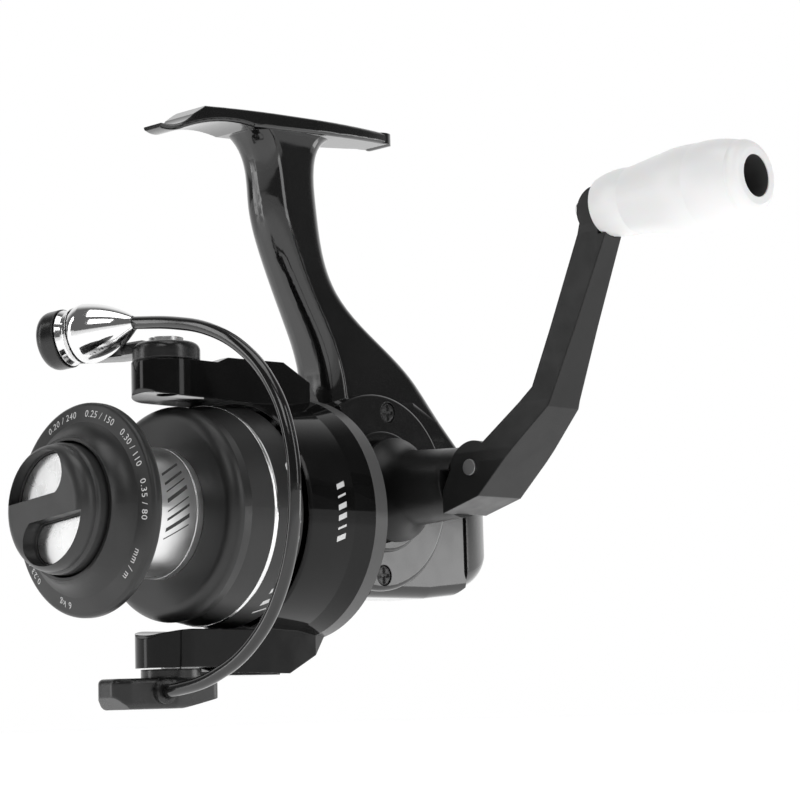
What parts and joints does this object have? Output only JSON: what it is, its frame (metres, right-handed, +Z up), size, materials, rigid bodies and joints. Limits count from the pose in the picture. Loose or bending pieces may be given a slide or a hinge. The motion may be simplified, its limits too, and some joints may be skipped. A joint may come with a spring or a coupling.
{
  "type": "spinning reel",
  "caption": "Fishing reel with a fixed front spool, folding bail with line roller, rotor, folding side crank with grip, and a foot that clamps in a rod's reel seat.",
  "frame": {"origin": "middle of the flat top of the reel foot, where the rod lies", "axes": "+X forward along the spool towards the drag knob, +Y to the handle side along the handle shaft, +Z up to the rod"},
  "size_m": [0.1468, 0.1614, 0.1507],
  "materials": {
    "gloss_black_plastic": "glossy black moulded plastic",
    "matte_graphite": "satin dark grey graphite",
    "black_wire": "gloss black coated steel wire",
    "white_plastic": "smooth white plastic",
    "polished_chrome": "polished",
    "silver_anodised": "satin silver",
    "felt": "pressed felt",
    "brass": "machined",
    "steel": "machined"
  },
  "bodies": {
    "body": {"reel_frame": "gloss_black_plastic", "side_cover": "gloss_black_plastic", "cover_screws": "steel", "rear_cap": "gloss_black_plastic", "front_bearing": "steel", "roller_clutch": "steel", "clutch_retainer": "steel", "pinion_rear_bushing": "brass", "drive_bearing_left": "steel", "drive_bearing_right": "steel", "side_cap": "gloss_black_plastic"},
    "rotor": {"rotor": "gloss_black_plastic", "rotor_nut": "steel", "bail_pivot_screws": "steel", "arm_cover": "gloss_black_plastic", "bail_spring_rod": "steel", "bail_spring": "steel", "balance_weight": "steel", "pinion_gear": "brass"},
    "bail": {"bail_arm": "matte_graphite", "bail_lever": "matte_graphite", "bail_wire": "black_wire", "roller_cone": "polished_chrome", "roller_pin": "steel"},
    "line_roller": {"line_roller": "polished_chrome"},
    "main_shaft": {"main_shaft": "steel", "shaft_slider": "steel"},
    "spool": {"spool": "matte_graphite", "arbor_sleeve": "silver_anodised", "skirt_trim_ring": "polished_chrome", "spool_bushing": "brass", "spool_click_ratchet": "steel", "line_clip": "matte_graphite", "drag_felt_washers": "felt", "drag_metal_washers": "steel", "drag_retaining_ring": "steel"},
    "drag_knob": {"drag_knob": "matte_graphite", "knob_plates": "silver_anodised", "knob_nut": "steel", "knob_spring_cup": "steel", "knob_spring": "steel"},
    "drive": {"drive_shaft": "steel", "drive_gear": "brass", "oscillation_driver": "brass", "handle_shank": "matte_graphite"},
    "handle_arm": {"handle_arm": "matte_graphite", "fold_pin": "steel", "grip_post": "steel", "grip_washer": "steel"},
    "handle_grip": {"handle_grip": "white_plastic"},
    "oscillation_gear": {"oscillation_gear": "brass"}
  },
  "joints": [
    {"name": "handle_turn", "type": "hinge", "parent": "body", "child": "drive", "pos_m": [-0.0195, 0, -0.0953], "axis": [0, 1, 0], "continuous": true},
    {"name": "rotor_spin", "type": "hinge", "parent": "body", "child": "rotor", "pos_m": [0.008, 0, -0.1026], "axis": [1, 0, 0], "continuous": true},
    {"name": "oscillation_turn", "type": "hinge", "parent": "body", "child": "oscillation_gear", "pos_m": [-0.036, 0, -0.1026], "axis": [0, 1, 0], "continuous": true},
    {"name": "shaft_stroke", "type": "slide", "parent": "body", "child": "main_shaft", "axis": [1, 0, 0], "range_m": [-0.011, 0]},
    {"name": "spool_turn", "type": "hinge", "parent": "main_shaft", "child": "spool", "pos_m": [0.053, 0, -0.1026], "axis": [1, 0, 0], "continuous": true},
    {"name": "drag_knob_turn", "type": "hinge", "parent": "main_shaft", "child": "drag_knob", "pos_m": [0.072, 0, -0.1026], "axis": [1, 0, 0], "range_deg": [-360, 360]},
    {"name": "bail_swing", "type": "hinge", "parent": "rotor", "child": "bail", "pos_m": [0.042, 0, -0.1026], "axis": [0, 0, 1], "range_deg": [-115, 0]},
    {"name": "line_roller_spin", "type": "hinge", "parent": "bail", "child": "line_roller", "pos_m": [0.0575, -0.021, -0.0592], "axis": [-0.3356, 0.9349, 0.1151], "continuous": true},
    {"name": "handle_fold", "type": "hinge", "parent": "drive", "child": "handle_arm", "pos_m": [-0.0195, 0.0494, -0.0928], "axis": [1, 0, 0], "range_deg": [0, 60]},
    {"name": "grip_turn", "type": "hinge", "parent": "handle_arm", "child": "handle_grip", "pos_m": [-0.0195, 0.088, -0.0337], "axis": [0, 1, 0], "continuous": true}
  ],
  "couplings": [
    {"joint": "rotor_spin", "follows": "handle_turn", "ratio": -5.1429},
    {"joint": "oscillation_turn", "follows": "handle_turn", "ratio": -0.5}
  ]
}
